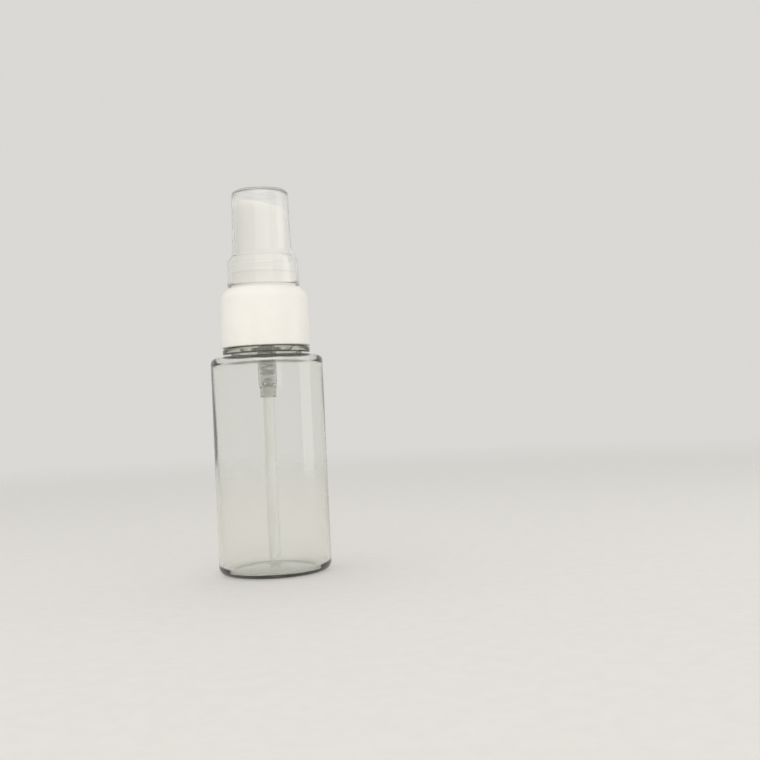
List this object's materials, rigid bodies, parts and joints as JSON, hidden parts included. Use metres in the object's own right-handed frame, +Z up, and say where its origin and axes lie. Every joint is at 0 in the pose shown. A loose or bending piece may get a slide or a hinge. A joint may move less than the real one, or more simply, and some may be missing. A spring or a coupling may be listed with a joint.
{
  "type": "pump oil bottle",
  "caption": "Clear cylindrical travel bottle for oil with a white screw-on stroke pump, a swivelling finger button with flush nozzle, a dip tube and a clear press-on overcap",
  "frame": {"origin": "centre of the bottle's base ring, on the plane that it stands on", "axes": "+Z up along the bottle's axis; +X is the way the nozzle looks at rest; +Y completes the right-handed frame"},
  "size_m": [0.03, 0.03, 0.1024],
  "materials": {
    "clear_petg": "clear blow-moulded PETG, glossy, faint olive tint in the edges",
    "clear_pp": "clear injection-moulded cap, glossy with a faint haze",
    "white_pp": "warm white moulded PP, satin",
    "white_pom": "white moulded POM, satin",
    "natural_pp": "natural milky PP, translucent",
    "natural_pe": "natural milky PE, translucent, waxy",
    "soft_pe": "soft foamed PE washer",
    "stainless": "drawn stainless wire and polished ball"
  },
  "bodies": {
    "bottle": {"bottle": "clear_petg"},
    "pump_body": {"pump_housing": "natural_pp", "guide_turret": "white_pp", "neck_gasket": "soft_pe", "dip_tube": "natural_pe", "main_spring": "stainless"},
    "collar": {"screw_collar": "white_pp"},
    "plunger": {"stem": "white_pp", "piston_seat": "white_pom"},
    "piston": {"piston": "natural_pe"},
    "head": {"actuator": "white_pp", "nozzle_insert": "white_pom"},
    "valve_ball": {"inlet_ball": "stainless"},
    "cap": {"overcap": "clear_pp"}
  },
  "joints": [
    {"name": "pump_lift", "type": "slide", "parent": "bottle", "child": "pump_body", "axis": [0, 0, 1], "range_m": [0, 0.00476]},
    {"name": "collar_turn", "type": "hinge", "parent": "pump_body", "child": "collar", "pos_m": [0, 0, 0.068], "axis": [0, 0, 1], "range_deg": [0, 540]},
    {"name": "pump_stroke", "type": "slide", "parent": "pump_body", "child": "plunger", "axis": [0, 0, -1], "range_m": [0, 0.005], "stiffness_N_per_m": 700, "springref_m": -0.0008, "deforming": ["main_spring"]},
    {"name": "piston_float", "type": "slide", "parent": "plunger", "child": "piston", "axis": [0, 0, 1], "range_m": [0, 0.0007]},
    {"name": "head_swivel", "type": "hinge", "parent": "plunger", "child": "head", "pos_m": [0, 0, 0.0868], "axis": [0, 0, 1], "continuous": true},
    {"name": "ball_lift", "type": "slide", "parent": "pump_body", "child": "valve_ball", "axis": [0, 0, 1], "range_m": [0, 0.0007]},
    {"name": "cap_lift", "type": "slide", "parent": "pump_body", "child": "cap", "axis": [0, 0, 1], "range_m": [0, 0.03]}
  ],
  "couplings": [
    {"joint": "collar_turn", "follows": "pump_lift", "rad_per_m": 1975.8}
  ]
}
